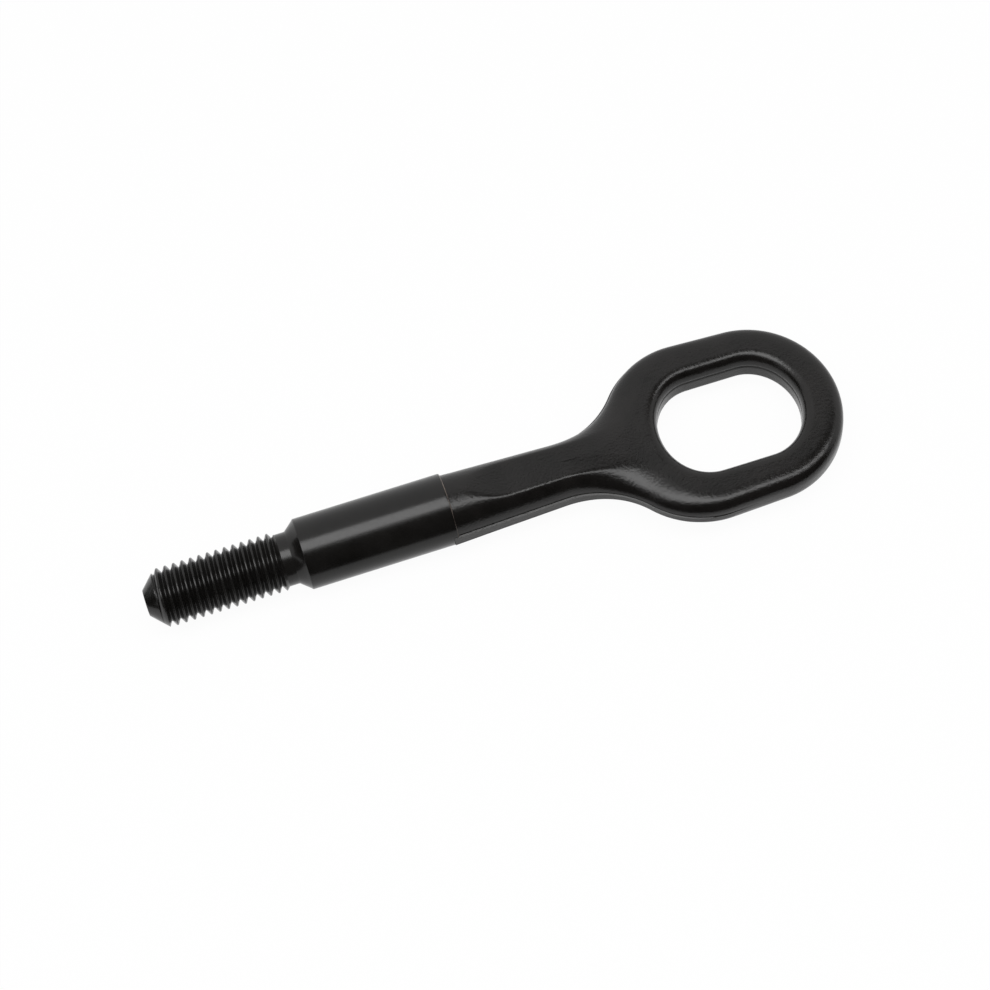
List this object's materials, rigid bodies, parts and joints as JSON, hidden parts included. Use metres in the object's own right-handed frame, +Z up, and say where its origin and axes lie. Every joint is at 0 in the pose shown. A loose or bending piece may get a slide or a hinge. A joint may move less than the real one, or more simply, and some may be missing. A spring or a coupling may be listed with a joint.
{
  "type": "screw-in tow eye",
  "caption": "Forged steel tow eye with a turned collar and a left-hand threaded end, screwed into a socket behind a bumper to take a tow rope or a lashing strap.",
  "frame": {"origin": "under the middle of the whole length, on the shaft's centre plane, at the height of the collar's lowest line", "axes": "+X along the shaft from the threaded tip to the nose of the eye, +Y across the eye, +Z up and square to the flat faces of the eye"},
  "size_m": [0.1662, 0.0456, 0.0167],
  "materials": {
    "forged_steel": "black phosphate and oil on the forged skin, satin"
  },
  "bodies": {
    "root": {"tow_eye": "forged_steel"}
  },
  "joints": []
}
